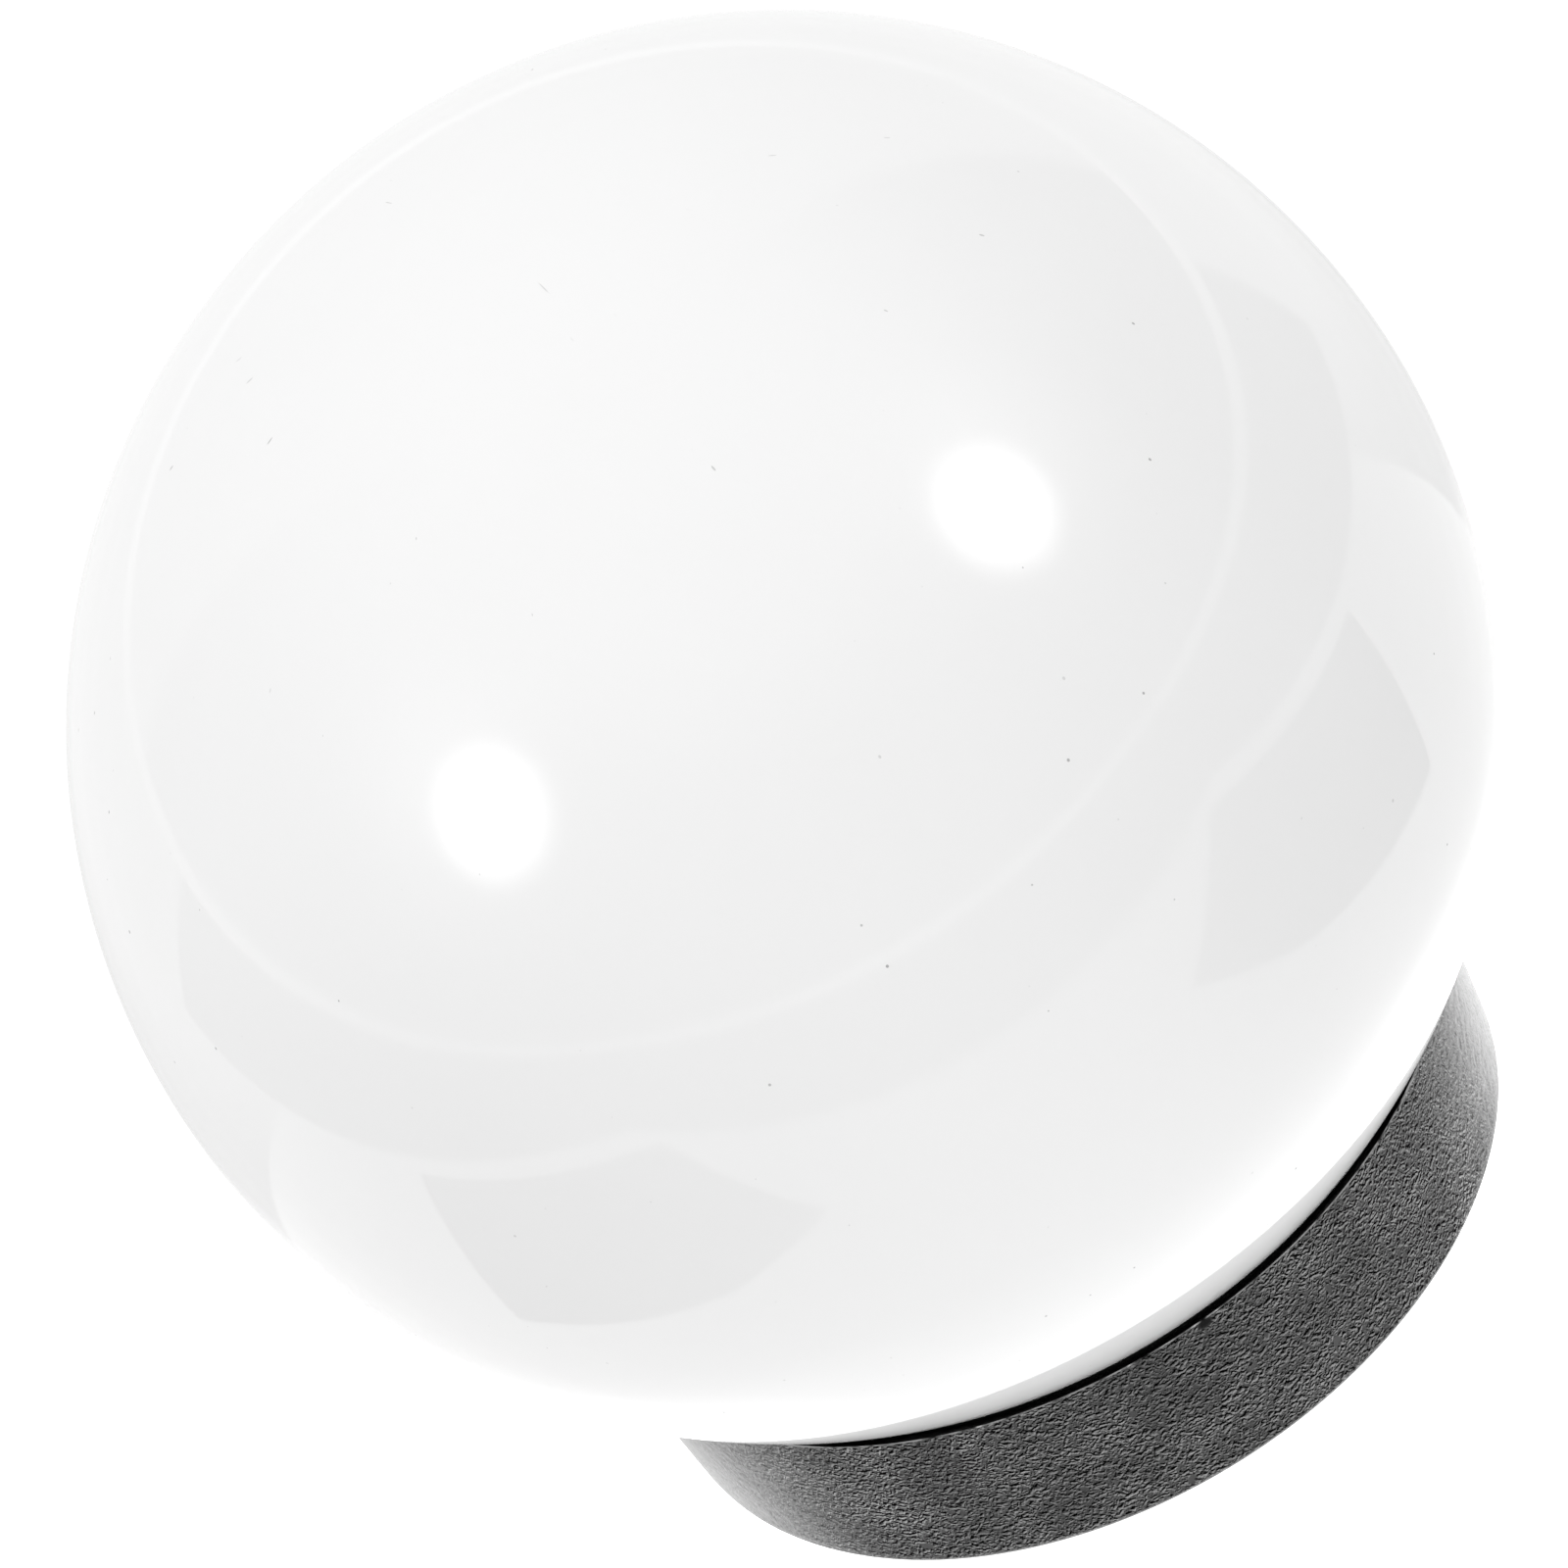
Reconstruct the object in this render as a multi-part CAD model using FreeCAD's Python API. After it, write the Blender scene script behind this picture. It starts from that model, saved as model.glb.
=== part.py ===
"""Cue ball on its ring stand, in millimetres.

+Z is up. The origin is the middle of the ring stand's underside, on the
surface that the stand rests on. The ball and the ring share the Z axis.
"""

import FreeCAD
import Part

import math
import os

# Ball: a regulation pool cue ball, cast solid and turned to a true sphere.
BALL_DIAMETER = 57.15
BALL_CENTRE_HEIGHT = 29.49

# Ring stand: one moulded ring, a little wider at its rim than at its foot.
RIM_DIAMETER = 38.60
FOOT_DIAMETER = 37.08
BORE_DIAMETER = 27.00
RING_HEIGHT = 7.97
RIM_LAND = 0.15
FOOT_EDGE_RADIUS = 0.20

# Gap, square to both faces, where the ball comes nearest to the seat.
SEAT_CLEARANCE = 0.08

ball_radius = BALL_DIAMETER / 2
rim_radius = RIM_DIAMETER / 2
foot_radius = FOOT_DIAMETER / 2
bore_radius = BORE_DIAMETER / 2
land_radius = rim_radius - RIM_LAND

Z_AXIS = FreeCAD.Vector(0, 0, 1)
ORIGIN = FreeCAD.Vector(0, 0, 0)


def seat_angle():
    """Slope of the seat cone, in radians, where it leaves the land and just clears the ball."""
    drop = BALL_CENTRE_HEIGHT - RING_HEIGHT
    reach = math.hypot(land_radius, drop)
    to_land = math.atan2(land_radius, drop)
    return to_land - math.acos((ball_radius + SEAT_CLEARANCE) / reach)


def seat_height(radius):
    """Height of the seat cone at a distance from the axis."""
    return RING_HEIGHT - (land_radius - radius) * math.tan(seat_angle())


def revolved(corners):
    """Solid of revolution about Z, from (radius, height) corners."""
    points = [FreeCAD.Vector(radius, 0, height) for radius, height in corners]
    outline = Part.makePolygon(points + points[:1])
    return Part.Face(outline).revolve(ORIGIN, Z_AXIS, 360)


def circle_edge(shape, radius, height):
    """The round edge of a shape at a radius and a height."""
    for edge in shape.Edges:
        curve = edge.Curve
        if not isinstance(curve, Part.Circle):
            continue
        if abs(curve.Radius - radius) < 1e-6 and abs(curve.Center.z - height) < 1e-6:
            return edge
    raise ValueError(f"no round edge of radius {radius} at height {height}")


def ring_stand():
    """One moulding: flat foot, leaning outer wall, narrow rim land, seat cone and bore."""
    corners = [
        (bore_radius, 0),
        (foot_radius, 0),
        (rim_radius, RING_HEIGHT),
        (land_radius, RING_HEIGHT),
        (bore_radius, seat_height(bore_radius)),
    ]
    ring = revolved(corners)
    foot_edge = circle_edge(ring, foot_radius, 0)
    return ring.makeFillet(FOOT_EDGE_RADIUS, [foot_edge])


def cue_ball():
    return Part.makeSphere(ball_radius, FreeCAD.Vector(0, 0, BALL_CENTRE_HEIGHT))


def export(node, shape):
    """Write one node's STEP file, from its one valid solid."""
    if len(shape.Solids) != 1 or not shape.isValid():
        raise ValueError(f"{node} is not one valid solid")
    solid = shape.Solids[0]
    solid.exportStep(f"parts/{node}.step")
    box = solid.optimalBoundingBox()
    print(f"{node}: {box.XLength:.2f} x {box.YLength:.2f} x {box.ZLength:.2f} mm, {solid.Volume:.0f} mm3")


os.makedirs("parts", exist_ok=True)
export("cue_ball", cue_ball())
export("ring_stand", ring_stand())
print(f"seat slopes {math.degrees(seat_angle()):.2f} degrees")
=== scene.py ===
"""Cue ball on its ring stand: the finished looks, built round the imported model.

Metres, +Z up, origin in the middle of the ring stand's underside. Sizes that are
easier to read in millimetres are written as a number times MM.
"""

import math

import bmesh
import bpy
import numpy as np
from mathutils import Matrix, Vector, noise


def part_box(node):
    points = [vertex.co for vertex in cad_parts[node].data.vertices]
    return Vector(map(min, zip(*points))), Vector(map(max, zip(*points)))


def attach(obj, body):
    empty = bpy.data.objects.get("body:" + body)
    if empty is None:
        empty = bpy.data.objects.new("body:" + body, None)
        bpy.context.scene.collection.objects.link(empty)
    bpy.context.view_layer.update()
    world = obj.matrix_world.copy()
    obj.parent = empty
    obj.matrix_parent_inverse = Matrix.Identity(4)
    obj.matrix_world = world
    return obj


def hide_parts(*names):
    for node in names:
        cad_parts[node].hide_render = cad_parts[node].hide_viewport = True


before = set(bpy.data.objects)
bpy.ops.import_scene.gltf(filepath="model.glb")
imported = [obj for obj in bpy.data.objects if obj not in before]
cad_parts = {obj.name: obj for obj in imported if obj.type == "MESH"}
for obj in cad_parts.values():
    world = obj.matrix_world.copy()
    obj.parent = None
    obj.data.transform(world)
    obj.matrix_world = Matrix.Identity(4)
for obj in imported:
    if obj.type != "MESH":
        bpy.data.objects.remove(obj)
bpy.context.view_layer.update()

MM = 0.001

# The ball, from the frame.
ball_low, ball_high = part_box("cue_ball")
BALL_RADIUS = (ball_high.z - ball_low.z) / 2
BALL_CENTRE = Vector((0, 0, (ball_low.z + ball_high.z) / 2))
BALL_CUTS = 71

# The ring stand. Its height and rim come from the frame, the rest is the CAD's section.
ring_low, ring_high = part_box("ring_stand")
RING_HEIGHT = ring_high.z
RIM_RADIUS = (ring_high.x - ring_low.x) / 2
FOOT_RADIUS = 18.54 * MM
BORE_RADIUS = 13.50 * MM
FOOT_EDGE_RADIUS = 0.20 * MM
SEAT_CLEARANCE = 0.08 * MM

# Finer shapes, inside the CAD's section: broken edges at the bore, a relief just inside the
# rim, a line of flash on the rim and a grained wall that sits back from it.
EDGE_BREAK = 0.06 * MM
RELIEF_WIDTH = 0.24 * MM
RELIEF_DROP = 0.34 * MM
FLASH_HEIGHT = 0.07 * MM
WALL_SET_BACK = 0.012 * MM
SWELL_DEPTH = 0.006 * MM
RIDGE_DEPTH = 0.014 * MM

# How far full wear, and the nick, take the rim's edge inward and down.
WEAR_INWARD = 0.014 * MM
WEAR_DOWN = 0.008 * MM
NICK_INWARD = 0.050 * MM
NICK_DOWN = 0.060 * MM

# The nick, a little to the right of the front, a spur of painted highlight on the flash to its
# left and the bare spot of wall below it. Half widths and half heights.
NICK_BEARING = math.radians(5.9)
NICK_HALF_WIDTH = 0.22 * MM
SPUR_OFFSET = 0.42 * MM
SPOT_BELOW_RIM = 0.22 * MM
SPOT_HALF_WIDTH = 0.34 * MM
SPOT_HALF_HEIGHT = 0.26 * MM

# The ring's mesh.
RING_COLUMNS = 1150
WALL_ROWS = 62
SEAT_ROWS = 6
FOOT_EDGE_STEPS = 4

# Leather grain, in features to a metre, and its sizes. A ridge is a little longer than tall.
GRAIN_SCALE = 3200.0
GRAIN_SQUEEZE = 1.2
GRAIN_BEND = 0.22 * MM
GRAIN_BEND_SCALE = 2900.0
GRAIN_BUMP = 0.05 * MM
# How far up and down the grain is read, to paint light on each upper flank and shade below it.
FLANK = 0.032 * MM
PORE_SCALE = 9000.0
PORE_SHARE = 0.35
PATCH_SCALE = 270.0
BALD_SCALE = 1100.0

# Tones and glosses of the ring: painted light on the upper flanks of its grained wall, its plain
# inside, and the painted highlight on its flash. The foot's edge has this share of that highlight.
RIDGE_PAINTED_LIGHT = 0.37
PLAIN_TONE = 0.004
FLASH_HIGHLIGHT_TONE = 0.50
PLAIN_GLOSS = 0.10
SHEEN_GLOSS = 0.78
FOOT_EDGE_HIGHLIGHT = 0.45

# Specks in the ball: cells of the net to a radian, and the share of cells without a speck.
SPECK_SCALE = 13.0
SPECKLESS_SHARE = 0.86

# Camera: a long lens, looking down on a picture that is rolled to the right.
CAMERA_ELEVATION = math.radians(37.4)
CAMERA_ROLL = math.radians(31.32)
CAMERA_DISTANCE = 25 * BALL_RADIUS
BALL_SHARE_OF_FRAME = 0.9158
BALL_ABOVE_MIDDLE = 0.0795 * BALL_RADIUS
BALL_LEFT_OF_MIDDLE = 0.0004 * BALL_RADIUS
SENSOR = 36.0

# Floor, which glows with painted light: its level beside the ring and far from it, a brighter
# pool of it behind the ring, and how much that pool gains for each metre to the right.
FLOOR_HEIGHT = -0.02 * MM
FLOOR_NEAR_LEVEL = 1.36
FLOOR_FAR_LEVEL = 0.80
FLOOR_BASE = 0.35
POOL_LEVEL = 0.95
POOL_SLANT = 18.0

# Sheets that show only in the gloss, laid one above another: a back apron with its level
# beside the ring, then its dimmest and its farthest, grey aprons, and two darker flags.
BACK_HEIGHT = 0.2 * MM
BACK_NEAR_LEVEL = 1.50
BACK_DIM_LEVEL = 0.87
BACK_FAR_LEVEL = 1.02
APRON_HEIGHT = 0.3 * MM
APRON_LEVEL = 0.68
APRON_BASE = 0.02
FLAG_HEIGHT = 0.4 * MM
FLAG_LEVEL = 0.50
FLAG_BASE = 0.04

# Plans of the floor and the sheets, in millimetres. The side ones are for the right.
FLOOR_PLAN = [(-1500, -1500), (1500, -1500), (1500, 1500), (-1500, 1500)]
BACK_PLAN = [(-600, 21), (600, 21), (600, 600), (-600, 600)]
FRONT_PLAN = [(-600, -600), (600, -600), (108, -100), (-108, -100)]
SIDE_PLAN = [(108, -100), (600, -600), (600, 350), (108, 57)]
FLAG_PLAN = [(28, -56), (86, -90), (96, -18), (44, -12), (33, -36)]

# Each lamp, in degrees: azimuth from the camera's side and elevation of its core and of its
# halo, the angles over which the core fades, and the halo's width.
CORE_AIM = (61.4, 33.2)
CORE_FADE = (5.0, 12.8)
CORE_LEVEL = 4.4
HALO_AIM = (70.0, 35.5)
HALO_WIDTH = 15.0
HALO_LEVEL = 0.95


def new_object(name, mesh):
    """Link a mesh into the scene as a named object."""
    obj = bpy.data.objects.new(name, mesh)
    bpy.context.scene.collection.objects.link(obj)
    return obj


# ---------------------------------------------------------------- node helpers


class Nodes:
    """Short names for building one node tree."""

    def __init__(self, tree):
        self.tree = tree
        tree.nodes.clear()

    def add(self, kind, inputs=None, **settings):
        node = self.tree.nodes.new(kind)
        for key, value in settings.items():
            setattr(node, key, value)
        for key, value in (inputs or {}).items():
            self.feed(node.inputs[key], value)
        return node

    def feed(self, socket, value):
        if isinstance(value, bpy.types.NodeSocket):
            self.tree.links.new(value, socket)
        else:
            socket.default_value = value

    def math(self, operation, first, second=0.0, third=0.0):
        node = self.add("ShaderNodeMath", operation=operation)
        for index, value in enumerate((first, second, third)):
            self.feed(node.inputs[index], value)
        return node.outputs[0]

    def step(self, value, low, high, out_low=0.0, out_high=1.0):
        """Smooth step from out_low to out_high as value goes from low to high."""
        node = self.add("ShaderNodeMapRange", interpolation_type="SMOOTHSTEP")
        for index, number in enumerate((value, low, high, out_low, out_high)):
            self.feed(node.inputs[index], number)
        return node.outputs[0]

    def mix(self, factor, first, second):
        """Mix of two numbers."""
        node = self.add("ShaderNodeMix", data_type="FLOAT")
        self.feed(node.inputs["Factor"], factor)
        self.feed(node.inputs["A"], first)
        self.feed(node.inputs["B"], second)
        return node.outputs["Result"]

    def grey(self, value):
        """A grey colour from one number."""
        return self.add("ShaderNodeCombineColor", {0: value, 1: value, 2: value}).outputs[0]

    def place(self):
        """Where a point of the surface is, in metres."""
        return self.add("ShaderNodeTexCoord").outputs["Object"]

    def axes(self, vector):
        """The X, Y and Z of a vector."""
        parts = self.add("ShaderNodeSeparateXYZ", {"Vector": vector}).outputs
        return parts["X"], parts["Y"], parts["Z"]

    def length(self, vector):
        return self.add("ShaderNodeVectorMath", {0: vector}, operation="LENGTH").outputs["Value"]

    def noise(self, place, scale, detail):
        """A noise node with so many features to a metre."""
        inputs = {"Vector": place, "Scale": scale, "Detail": detail}
        return self.add("ShaderNodeTexNoise", inputs)

    def glow(self, level):
        """White light of a level."""
        return self.add("ShaderNodeEmission", {"Color": (1, 1, 1, 1), "Strength": level}).outputs[0]

    def glow_on_matt(self, level, base):
        """White light of a level, over a matt grey base."""
        matt = self.add("ShaderNodeBsdfDiffuse", {"Color": (base, base, base, 1)}).outputs[0]
        return self.add("ShaderNodeAddShader", {0: self.glow(level), 1: matt}).outputs[0]

    def surface(self, shader):
        """Use a shader as the material's surface."""
        self.add("ShaderNodeOutputMaterial", {"Surface": shader})


def new_material(name):
    material = bpy.data.materials.new(name)
    material.use_nodes = True
    return material, Nodes(material.node_tree)


# ---------------------------------------------------------------- materials


def resin_material():
    """Cast phenolic resin: opaque white, mirror gloss, a few specks and faint cloudiness."""
    material, n = new_material("white_resin")
    place = n.place()
    tone = n.step(n.noise(place, 60.0, 4.0).outputs[0], 0.3, 0.7, 0.852, 0.862)

    # Specks: one may sit in each cell of a net of longitude and latitude round the ball.
    across, back, up = n.axes(place)
    turn = n.math("ARCTAN2", back, across)
    rise = n.math("DIVIDE", n.math("SUBTRACT", up, BALL_CENTRE.z), BALL_RADIUS)
    net = n.add("ShaderNodeCombineXYZ", {"X": turn, "Y": rise}).outputs[0]
    inputs = {"Vector": net, "Scale": SPECK_SCALE}
    cells = n.add("ShaderNodeTexVoronoi", inputs, voronoi_dimensions="2D")
    pick = n.add("ShaderNodeSeparateColor", {"Color": cells.outputs["Color"]}).outputs
    size = n.step(pick[1], 0.2, 1.0, 0.012, 0.036)
    speck = n.step(n.math("SUBTRACT", size, cells.outputs["Distance"]), 0.0, 0.008)
    speck = n.math("MULTIPLY", speck, n.math("GREATER_THAN", pick[0], SPECKLESS_SHARE))
    depth = n.math("MULTIPLY", speck, n.step(pick[2], 0.0, 1.0, 0.10, 0.55))
    tone = n.math("MULTIPLY", tone, n.math("SUBTRACT", 1.0, depth))

    rough = n.step(n.noise(place, 900.0, 3.0).outputs[0], 0.35, 0.65, 0.025, 0.045)
    inputs = {"Base Color": n.grey(tone), "Roughness": rough, "IOR": 1.55}
    n.surface(n.add("ShaderNodeBsdfPrincipled", inputs).outputs[0])
    return material


def wrinkles(n, place, lift):
    """Height of the leather grain at a place moved up by lift.

    Its short ridges run where a bent noise passes through its middle value.
    """
    moved = n.add("ShaderNodeMapping", {"Vector": place, "Location": (0, 0, lift)}).outputs[0]
    inputs = {"Vector": moved, "Scale": (1.0, 1.0, GRAIN_SQUEEZE)}
    squeezed = n.add("ShaderNodeMapping", inputs).outputs[0]
    bend = n.noise(squeezed, GRAIN_BEND_SCALE, 1.0).outputs["Color"]
    inputs = {0: bend, 1: (GRAIN_BEND, GRAIN_BEND, GRAIN_BEND), 2: squeezed}
    bent = n.add("ShaderNodeVectorMath", inputs, operation="MULTIPLY_ADD").outputs[0]
    worms = n.noise(bent, GRAIN_SCALE, 2.0).outputs[0]
    off_middle = n.math("ABSOLUTE", n.math("MULTIPLY_ADD", worms, 2.0, -1.0))
    return n.step(off_middle, 0.0, 0.42, 1.0, 0.0)


def ring_material():
    """Moulded black plastic, with painted light and shade on its grain. The mesh says where it is
    grained and where the painted highlight of its flash goes.
    """
    material, n = new_material("black_plastic")
    place = n.place()
    grained = n.add("ShaderNodeAttribute", attribute_name="grain").outputs["Fac"]
    flash_highlight = n.add("ShaderNodeAttribute", attribute_name="flash_highlight").outputs["Fac"]

    # Patches of deeper and shallower grain, and a few small bald spots.
    patch = n.step(n.noise(place, PATCH_SCALE, 3.0).outputs[0], 0.32, 0.68)
    bald = n.step(n.noise(place, BALD_SCALE, 1.0).outputs[0], 0.70, 0.76)
    depth = n.math("MULTIPLY", n.mix(patch, 0.75, 1.1), n.math("SUBTRACT", 1.0, bald))
    depth = n.math("MULTIPLY", depth, grained)

    # Seen at a shallow angle, the ridges hide the crevices and the wall turns to an even sheen.
    facing = n.add("ShaderNodeLayerWeight", {"Blend": 0.5}).outputs["Facing"]
    sheen = n.step(facing, 0.50, 0.82)
    depth = n.math("MULTIPLY", depth, n.mix(sheen, 1.0, 0.25))
    fold = n.math("MULTIPLY", wrinkles(n, place, 0.0), depth)
    pores = n.math("MULTIPLY", n.noise(place, PORE_SCALE, 1.0).outputs[0], depth)
    height = n.math("MULTIPLY_ADD", pores, PORE_SHARE, fold)
    inputs = {"Strength": 1.0, "Distance": GRAIN_BUMP, "Height": height}
    bump = n.add("ShaderNodeBump", inputs).outputs[0]

    # Painted light and shade: each wrinkle's upper flank is painted pale and given gloss, as if lit
    # from above, and its crevice is painted black and matt as shade.
    rise = n.math("SUBTRACT", wrinkles(n, place, -FLANK), wrinkles(n, place, FLANK))
    rise = n.math("MULTIPLY", rise, depth)
    tone = n.step(rise, -0.27, 0.95, 0.0, RIDGE_PAINTED_LIGHT)
    tone = n.math("MULTIPLY", tone, n.mix(patch, 0.57, 1.05))
    # The pale tone of the flash, and of the foot's edge, is a painted highlight.
    tone = n.mix(flash_highlight, n.mix(grained, PLAIN_TONE, tone), FLASH_HIGHLIGHT_TONE)
    gloss = n.mix(sheen, n.step(rise, -0.32, 0.50), SHEEN_GLOSS)
    shader = n.add(
        "ShaderNodeBsdfPrincipled",
        {
            "Base Color": n.grey(tone),
            "Roughness": 0.6,
            "Specular IOR Level": 0.0,
            "Coat Weight": n.mix(grained, PLAIN_GLOSS, gloss),
            "Coat Roughness": 0.28,
            "Coat IOR": 1.62,
            "Normal": bump,
            "Coat Normal": bump,
        },
    )
    n.surface(shader.outputs[0])
    return material


# ---------------------------------------------------------------- the ball


def build_ball():
    """A true sphere of near-square faces: a cube's grid, spread evenly and pushed out."""
    bm = bmesh.new()
    bmesh.ops.create_cube(bm, size=2)
    bmesh.ops.subdivide_edges(bm, edges=bm.edges, cuts=BALL_CUTS, use_grid_fill=True)
    for vert in bm.verts:
        spread = Vector([math.tan(c * math.pi / 4) for c in vert.co])
        vert.co = BALL_CENTRE + spread.normalized() * BALL_RADIUS
    for face in bm.faces:
        face.smooth = True
    mesh = bpy.data.meshes.new("ball_shell")
    bm.to_mesh(mesh)
    bm.free()
    mesh.materials.append(resin_material())
    return new_object("polished_ball", mesh)


# ---------------------------------------------------------------- the ring stand


def wall_radius(height):
    return FOOT_RADIUS + (RIM_RADIUS - FOOT_RADIUS) * height / RING_HEIGHT


def seat_points():
    """The seat, from its relief inside the rim down to the bore, just clear of the ball."""
    top = Vector((RIM_RADIUS - RELIEF_WIDTH, RING_HEIGHT - RELIEF_DROP))
    drop = BALL_CENTRE.z - top.y
    reach = math.hypot(top.x, drop)
    slope = math.atan2(top.x, drop) - math.acos((BALL_RADIUS + SEAT_CLEARANCE) / reach)
    inner = BORE_RADIUS + EDGE_BREAK
    points = []
    for radius in np.linspace(top.x, inner, SEAT_ROWS):
        points.append((radius, top.y - (top.x - radius) * math.tan(slope), 0, 0))
    points.append((BORE_RADIUS, points[-1][1] - EDGE_BREAK, 0, 0))
    return points


def ring_section():
    """The ring's closed outline as (radius, height, share of grain, share of flash highlight)."""
    lean = math.atan2(RIM_RADIUS - FOOT_RADIUS, RING_HEIGHT)
    start = FOOT_RADIUS - FOOT_EDGE_RADIUS * math.tan((math.pi / 2 + lean) / 2)
    points = [
        (BORE_RADIUS, EDGE_BREAK, 0, 0),
        (BORE_RADIUS + EDGE_BREAK, 0, 0, 0),
        (start - 0.3 * MM, 0, 0, 0),
    ]
    for part in range(FOOT_EDGE_STEPS + 1):
        share = part / FOOT_EDGE_STEPS
        angle = -math.pi / 2 + share * (math.pi / 2 + lean)
        radius = start + FOOT_EDGE_RADIUS * math.cos(angle)
        # The middle of the foot's rounded edge gets part of the flash's painted highlight.
        edge_highlight = FOOT_EDGE_HIGHLIGHT if part in (2, 3) else 0
        points.append((radius, FOOT_EDGE_RADIUS * (1 + math.sin(angle)), share, edge_highlight))
    low = points[-1][1]
    high = RING_HEIGHT - FLASH_HEIGHT
    for row in range(1, WALL_ROWS + 1):
        height = low + (high - low) * row / WALL_ROWS
        points.append((wall_radius(height), height, 1, 0))
    points += [
        (RIM_RADIUS, RING_HEIGHT - 0.05 * MM, 0.2, 1),
        (RIM_RADIUS, RING_HEIGHT - 0.015 * MM, 0, 1),
        (RIM_RADIUS - 0.025 * MM, RING_HEIGHT, 0, 1),
        (RIM_RADIUS - 0.05 * MM, RING_HEIGHT - 0.02 * MM, 0, 0),
    ]
    return points + seat_points()


# The noises below read places in millimetres. A vector added to a place only moves one noise
# away from another.


def wall_hollow(place):
    """How far the grain sinks a point of the wall: broad swells, and ridges across them."""
    squeezed = Vector((place.x, place.y, place.z * 1.5)) / MM
    swell = 0.5 + 0.5 * noise.noise(squeezed * 0.7)
    ridge = min(1.0, 2.2 * abs(noise.noise(squeezed * 1.7 + Vector((7, 3, 5)))))
    return SWELL_DEPTH * swell + RIDGE_DEPTH * ridge


def flash_wear(place):
    """How much of the rim's flash is worn away at a point of the rim, from 0 to 1."""
    coarse = noise.noise(Vector((place.x, place.y, 0)) / MM * 0.9)
    fine = noise.noise(Vector((place.x, place.y, 9 * MM)) / MM * 4.5)
    return min(1.0, max(0.0, 0.30 + 0.8 * coarse + 0.6 * fine))


def highlight_nib_share(place):
    """Share of a small nib of painted highlight on the flash at a point of the rim: most has none.
    """
    return min(1.0, max(0.0, 5 * (noise.noise(place / MM * 2.1 + Vector((2, 9, 4))) - 0.42)))


def nick_shares(bearing, height):
    """Shares of the nick, of the spur of painted highlight beside it and of the bare spot below it.
    """
    turn = (bearing - NICK_BEARING + math.pi) % (2 * math.pi) - math.pi
    along = turn * RIM_RADIUS
    nick = max(0.0, 1 - (along / NICK_HALF_WIDTH) ** 2)
    spur_highlight = max(0.0, 1 - ((along + SPUR_OFFSET) / NICK_HALF_WIDTH) ** 2)
    below = RING_HEIGHT - height - SPOT_BELOW_RIM
    spot = max(0.0, 1.25 - math.hypot(along / SPOT_HALF_WIDTH, below / SPOT_HALF_HEIGHT))
    return nick, spur_highlight, min(1.0, 2 * spot)


def build_ring():
    """The ring's shell, a closed band of quads, with its grain and its flash's painted highlight
    marked.
    """
    section = ring_section()
    rows = len(section)
    verts = []
    grain_marks = []
    flash_highlight_marks = []
    for bearing in np.linspace(0, 2 * math.pi, RING_COLUMNS, endpoint=False):
        out = Vector((math.sin(bearing), -math.cos(bearing), 0))
        wear = flash_wear(out * RIM_RADIUS)
        highlight_nib = highlight_nib_share(out * RIM_RADIUS)
        for radius, height, grain, flash_highlight in section:
            nick, spur_highlight, spot = nick_shares(bearing, height)
            if grain == 1:
                grain = 1 - spot
                hollow = wall_hollow(out * radius + Vector((0, 0, height)))
                radius -= WALL_SET_BACK + grain * hollow
            if flash_highlight == 1:
                radius -= WEAR_INWARD * wear + NICK_INWARD * nick
                height -= WEAR_DOWN * wear + NICK_DOWN * nick
                # The flash's share is its painted highlight: worn away in places, kept at nibs and
                # at the spur.
                flash_highlight = max(spur_highlight, highlight_nib, 0.6 - 0.8 * wear, 0.0) * (1 - nick)
            verts.append(out * radius + Vector((0, 0, height)))
            grain_marks.append(grain)
            flash_highlight_marks.append(flash_highlight)
    faces = []
    for column in range(RING_COLUMNS):
        this = column * rows
        following = (column + 1) % RING_COLUMNS * rows
        for row in range(rows):
            up = (row + 1) % rows
            faces.append((this + row, following + row, following + up, this + up))
    mesh = bpy.data.meshes.new("ring_shell")
    mesh.from_pydata(verts, [], faces)
    for name, marks in (("grain", grain_marks), ("flash_highlight", flash_highlight_marks)):
        mesh.attributes.new(name, "FLOAT", "POINT").data.foreach_set("value", marks)
    mesh.polygons.foreach_set("use_smooth", [True] * len(faces))
    mesh.set_sharp_from_angle(angle=math.radians(40))
    mesh.materials.append(ring_material())
    mesh.update()
    return new_object("grained_ring", mesh)


# ---------------------------------------------------------------- stage


def glow_material(name, level, base):
    """A plain stage surface: some light of its own over a matt base."""
    material, n = new_material(name)
    n.surface(n.glow_on_matt(level, base))
    return material


def floor_material():
    """White floor that glows with painted light, more behind and beside the ring than in front of
    it.
    """
    material, n = new_material("floor_white")
    place = n.place()
    across, back, _ = n.axes(place)
    away = n.math("ADD", back, n.math("ABSOLUTE", across))
    far = n.length(place)
    pool = n.step(away, -6 * MM, 12 * MM, 0.0, POOL_LEVEL)
    pool = n.math("MULTIPLY_ADD", across, POOL_SLANT, pool)
    pool = n.math("MULTIPLY", pool, n.step(far, 21 * MM, 32 * MM, 1.0, 0.0))
    plain = n.step(far, 20 * MM, 36 * MM, FLOOR_NEAR_LEVEL, FLOOR_FAR_LEVEL)
    n.surface(n.glow_on_matt(n.math("ADD", pool, plain), FLOOR_BASE))
    return material


def back_material():
    """What the gloss shows behind the ring: a pale band that dims and brightens again."""
    material, n = new_material("back_pale")
    far = n.length(n.place())
    level = n.step(far, 28 * MM, 52 * MM, BACK_NEAR_LEVEL, BACK_DIM_LEVEL)
    level = n.mix(n.step(far, 60 * MM, 110 * MM), level, BACK_FAR_LEVEL)
    n.surface(n.glow(level))
    return material


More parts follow.
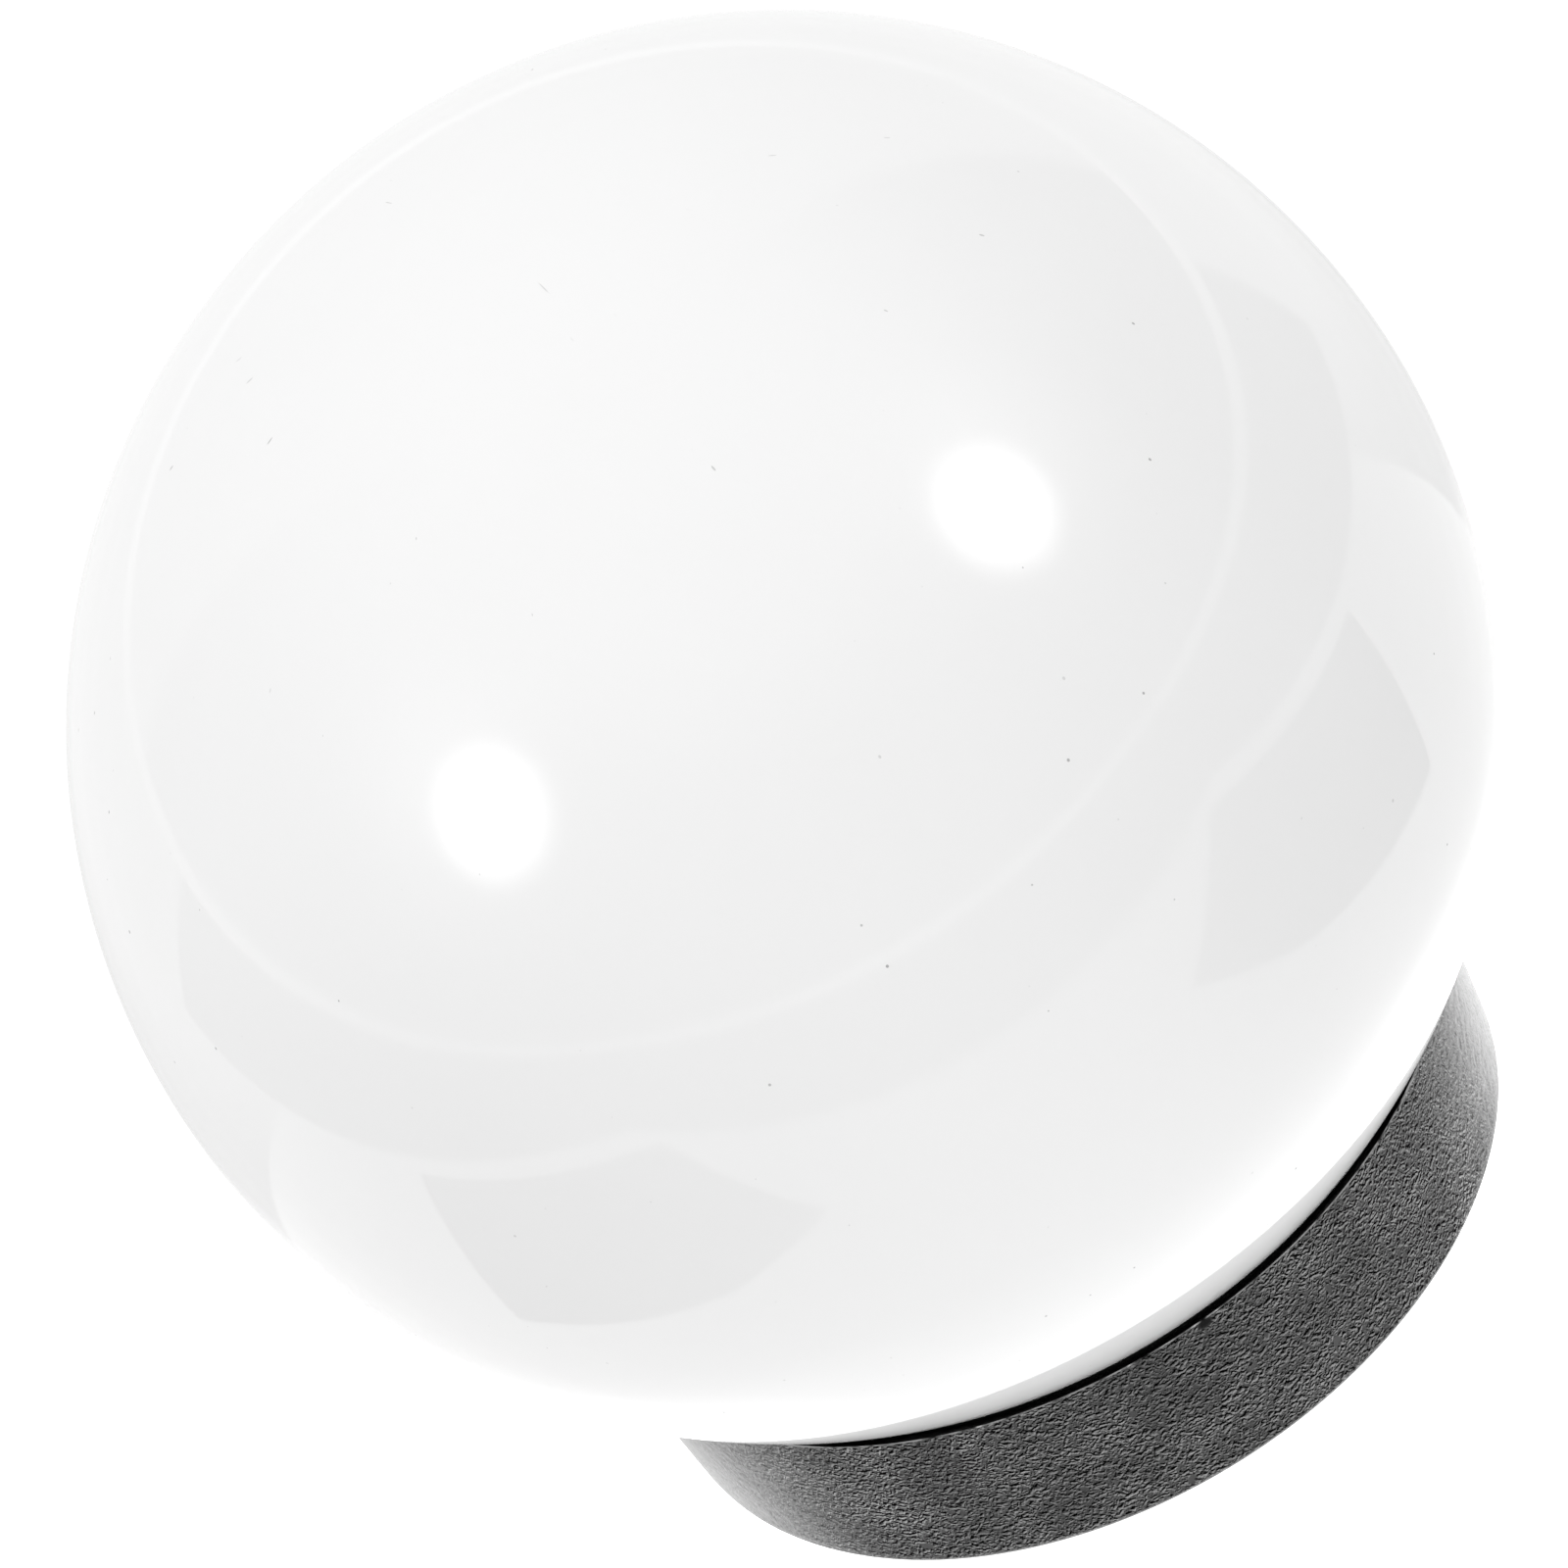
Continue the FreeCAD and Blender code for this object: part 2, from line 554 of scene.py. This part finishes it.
def flat_piece(name, plan, height, material, side=1, seen=False):
    """A flat stage piece from its plan in millimetres, mirrored to the left if side is -1."""
    mesh = bpy.data.meshes.new(name)
    corners = [(side * x * MM, y * MM, height) for x, y in plan]
    mesh.from_pydata(corners, [], [tuple(range(len(corners)))])
    mesh.materials.append(material)
    piece = new_object(name, mesh)
    piece.visible_camera = seen


def build_stage():
    """A white floor, and the aprons and flags that show only in the gloss."""
    flat_piece("floor", FLOOR_PLAN, FLOOR_HEIGHT, floor_material(), seen=True)
    flag_grey = glow_material("flag_grey", FLAG_LEVEL, FLAG_BASE)
    apron_grey = glow_material("apron_grey", APRON_LEVEL, APRON_BASE)
    flat_piece("apron_back", BACK_PLAN, BACK_HEIGHT, back_material())
    flat_piece("apron_front", FRONT_PLAN, APRON_HEIGHT, apron_grey)
    for side, word in ((1, "right"), (-1, "left")):
        flat_piece("flag_" + word, FLAG_PLAN, FLAG_HEIGHT, flag_grey, side)
        flat_piece("apron_" + word, SIDE_PLAN, APRON_HEIGHT, apron_grey, side)


def build_light():
    """A white tent seen from inside: dimmer in front and at the sides, and lit by two lamps."""
    world = bpy.data.worlds.new("tent")
    bpy.context.scene.world = world
    world.use_nodes = True
    n = Nodes(world.node_tree)
    view = n.add("ShaderNodeTexCoord").outputs["Generated"]
    ray = n.add("ShaderNodeVectorMath", {0: view}, operation="NORMALIZE").outputs[0]
    across, ahead, up = n.axes(ray)
    flat_squared = n.math("SUBTRACT", 1.0, n.math("MULTIPLY", up, up))
    flat = n.math("SQRT", n.math("MAXIMUM", flat_squared, 1e-6))
    bearing = n.math("DIVIDE", ahead, flat)
    front = n.step(bearing, -0.8, -0.2, 0.72, 0.77)
    sides = n.math("MULTIPLY_ADD", across, -0.06, front)
    level = n.mix(n.step(bearing, 0.67, 0.70), sides, 1.0)
    level = n.mix(n.step(up, 0.50, 0.88), level, 1.0)
    for side in (-1, 1):
        level = n.math("ADD", level, lamp_spot(n, ray, side))
    background = n.add("ShaderNodeBackground", {"Color": (1, 1, 1, 1), "Strength": level})
    n.add("ShaderNodeOutputWorld", {"Surface": background.outputs[0]})


def angle_from(n, ray, azimuth, elevation):
    """Angle between a ray and an aim in degrees, azimuth counted from the camera's side."""
    across = math.radians(azimuth)
    up = math.radians(elevation)
    aim = (math.sin(across) * math.cos(up), -math.cos(across) * math.cos(up), math.sin(up))
    dot = n.add("ShaderNodeVectorMath", {0: ray, 1: aim}, operation="DOT_PRODUCT")
    return n.math("ARCCOSINE", n.math("MINIMUM", dot.outputs["Value"], 0.999999))


def lamp_spot(n, ray, side):
    """The bright round core that one lamp makes on the tent's cloth, and its soft halo."""
    angle = angle_from(n, ray, CORE_AIM[0] * side, CORE_AIM[1])
    inner = math.radians(CORE_FADE[0])
    outer = math.radians(CORE_FADE[1])
    core = n.step(angle, inner, outer, CORE_LEVEL, 0.0)
    off_halo = angle_from(n, ray, HALO_AIM[0] * side, HALO_AIM[1])
    spread = n.math("DIVIDE", off_halo, math.radians(HALO_WIDTH))
    halo = n.math("EXPONENT", n.math("MULTIPLY", n.math("MULTIPLY", spread, spread), -1.0))
    return n.math("MULTIPLY_ADD", halo, HALO_LEVEL, core)


def build_camera():
    """The camera, aimed so that the ball sits a little above the middle of the picture."""
    toward = Vector((0, -math.cos(CAMERA_ELEVATION), math.sin(CAMERA_ELEVATION)))
    right = Vector((1, 0, 0))
    up = toward.cross(right)
    rolled_right = right * math.cos(CAMERA_ROLL) - up * math.sin(CAMERA_ROLL)
    rolled_up = up * math.cos(CAMERA_ROLL) + right * math.sin(CAMERA_ROLL)
    aim = BALL_CENTRE + rolled_right * BALL_LEFT_OF_MIDDLE - rolled_up * BALL_ABOVE_MIDDLE
    place = BALL_CENTRE + toward * CAMERA_DISTANCE
    back = (place - aim).normalized()
    x_axis = rolled_up.cross(back).normalized()
    y_axis = back.cross(x_axis)
    turned = Matrix((x_axis, y_axis, back)).transposed().to_4x4()
    data = bpy.data.cameras.new("camera")
    data.sensor_width = SENSOR
    radii = CAMERA_DISTANCE / BALL_RADIUS
    data.lens = SENSOR * BALL_SHARE_OF_FRAME / 2 * math.sqrt(radii * radii - 1)
    data.clip_start = 0.01
    data.clip_end = 20
    camera = bpy.data.objects.new("camera", data)
    camera.matrix_world = Matrix.Translation(place) @ turned
    bpy.context.scene.collection.objects.link(camera)
    bpy.context.scene.camera = camera


# ---------------------------------------------------------------- put together

build_camera()
ball = build_ball()
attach(ball, "ball")
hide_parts("cue_ball")

ring = build_ring()
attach(ring, "ring")
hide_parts("ring_stand")

build_stage()
build_light()
bpy.context.scene.view_settings.view_transform = "Standard"
